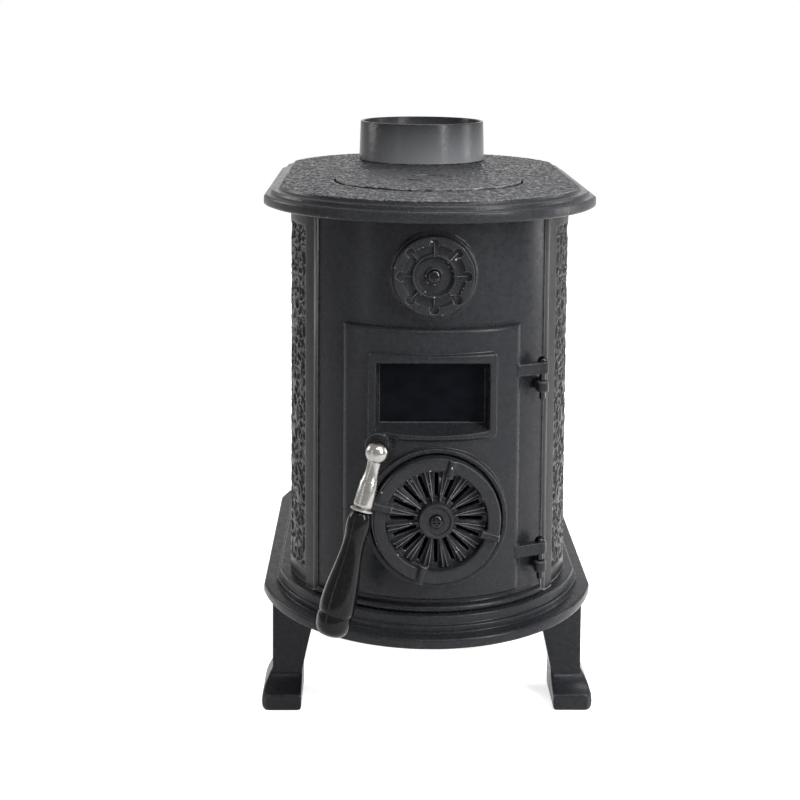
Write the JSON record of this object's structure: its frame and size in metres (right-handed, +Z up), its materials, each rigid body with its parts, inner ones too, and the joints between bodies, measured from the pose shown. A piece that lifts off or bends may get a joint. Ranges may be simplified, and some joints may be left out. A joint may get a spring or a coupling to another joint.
{
  "type": "potbelly stove",
  "caption": "Small oval cast-iron wood stove on splayed feet, with hinged window door, slotted air wheel, round damper, hotplate lid and flue collar.",
  "frame": {"origin": "on the floor, in the middle of the whole footprint, with the door handle's reach counted in depth", "axes": "+Z up, the door faces -Y, +X to the right of someone looking at the door"},
  "size_m": [0.2768, 0.4616, 0.4743],
  "materials": {
    "body_iron": "matt black stove paint over sand-cast iron",
    "top_iron": "wrinkle-textured stove paint over sand-cast iron",
    "dark_steel": "blackened steel",
    "bright_steel": "zinc-plated steel",
    "nickel": "satin nickel plate",
    "black_grip": "black high-gloss lacquer on turned wood",
    "smoked_glass": "fire-proof ceramic glass, dark with the firebox behind it",
    "fibre_rope": "woven glass-fibre tape",
    "fire_board": "pressed vermiculite board",
    "galvanised": "galvanised sheet"
  },
  "bodies": {
    "stove": {"base_plate": "body_iron", "leg_front_left": "body_iron", "leg_front_right": "body_iron", "leg_back_left": "body_iron", "leg_back_right": "body_iron", "leg_bolt_front_left": "dark_steel", "leg_bolt_front_right": "dark_steel", "leg_bolt_back_left": "dark_steel", "leg_bolt_back_right": "dark_steel", "side_panel_right": "body_iron", "side_panel_left": "body_iron", "front_plate": "body_iron", "back_plate": "body_iron", "top_plate": "top_iron", "flue_collar": "body_iron", "collar_screw_left": "dark_steel", "collar_screw_right": "dark_steel", "door_seal": "fibre_rope", "hinge_pin_lower": "dark_steel", "hinge_pin_upper": "dark_steel", "upper_damper_screw": "dark_steel", "grate": "body_iron", "ash_pan": "galvanised", "side_brick_right": "fire_board", "side_brick_left": "fire_board", "rear_brick": "fire_board", "baffle": "body_iron", "tie_rod_front_left": "dark_steel", "tie_rod_front_right": "dark_steel", "tie_rod_back_left": "dark_steel", "tie_rod_back_right": "dark_steel", "tie_rod_nut_front_left": "dark_steel", "tie_rod_nut_front_right": "dark_steel", "tie_rod_nut_back_left": "dark_steel", "tie_rod_nut_back_right": "dark_steel"},
    "door": {"door": "body_iron", "glass_gasket": "fibre_rope", "window_glass": "smoked_glass", "glass_clip_lower_left": "bright_steel", "glass_clip_lower_right": "bright_steel", "glass_clip_upper_left": "bright_steel", "glass_clip_upper_right": "bright_steel", "clip_screw_lower_left": "bright_steel", "clip_screw_lower_right": "bright_steel", "clip_screw_upper_left": "bright_steel", "clip_screw_upper_right": "bright_steel", "air_wheel_screw": "dark_steel"},
    "handle": {"handle_knuckle": "nickel", "handle_grip": "black_grip", "handle_spindle": "bright_steel", "latch_cam": "bright_steel", "spindle_nut": "dark_steel"},
    "air_wheel": {"air_wheel": "body_iron"},
    "upper_damper": {"upper_damper": "body_iron"},
    "lid": {"hotplate_lid": "top_iron"}
  },
  "joints": [
    {"name": "door_hinge", "type": "hinge", "parent": "stove", "child": "door", "pos_m": [0.0885, -0.14966, 0.2], "axis": [0, 0, 1], "range_deg": [0, 105]},
    {"name": "handle_turn", "type": "hinge", "parent": "door", "child": "handle", "pos_m": [-0.043, -0.18362, 0.244], "axis": [0, 1, 0], "range_deg": [0, 80]},
    {"name": "air_wheel_spin", "type": "hinge", "parent": "door", "child": "air_wheel", "pos_m": [0.0031, -0.18362, 0.1872], "axis": [0, 1, 0], "continuous": true},
    {"name": "damper_spin", "type": "hinge", "parent": "stove", "child": "upper_damper", "pos_m": [0, -0.17962, 0.3768], "axis": [0, 1, 0], "continuous": true},
    {"name": "lid_lift", "type": "slide", "parent": "stove", "child": "lid", "axis": [0, 0, 1], "range_m": [0, 0.15]}
  ]
}
